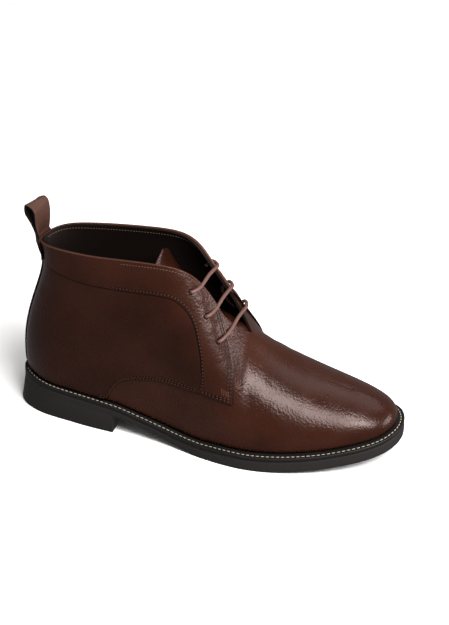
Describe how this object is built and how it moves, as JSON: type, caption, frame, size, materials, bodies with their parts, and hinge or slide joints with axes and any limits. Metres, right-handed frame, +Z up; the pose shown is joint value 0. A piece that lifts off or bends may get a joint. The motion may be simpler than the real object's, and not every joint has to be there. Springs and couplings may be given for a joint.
{
  "type": "chukka boot",
  "caption": "Ankle-high leather chukka boot for the right foot, laced over a tongue, on a welted rubber sole with a low heel and a pull loop at the back.",
  "frame": {"origin": "middle of the heel's floor face", "axes": "+X towards the toe, +Y towards the inner side of the foot, +Z up"},
  "size_m": [0.3002, 0.1044, 0.1683],
  "materials": {
    "leather": "polished, dark reddish brown",
    "strap": "smooth, brown",
    "lining": "matt, black",
    "rubber": "matt, black",
    "cord": "waxed, brown"
  },
  "bodies": {
    "root": {"upper": "leather", "quarter_lateral": "leather", "quarter_medial": "leather", "facing_lateral": "leather", "facing_medial": "leather", "tongue": "leather", "pull_loop": "strap", "back_piping": "lining", "insole": "lining", "welt": "rubber", "outsole": "rubber", "heel": "rubber", "lace": "cord"}
  },
  "joints": []
}
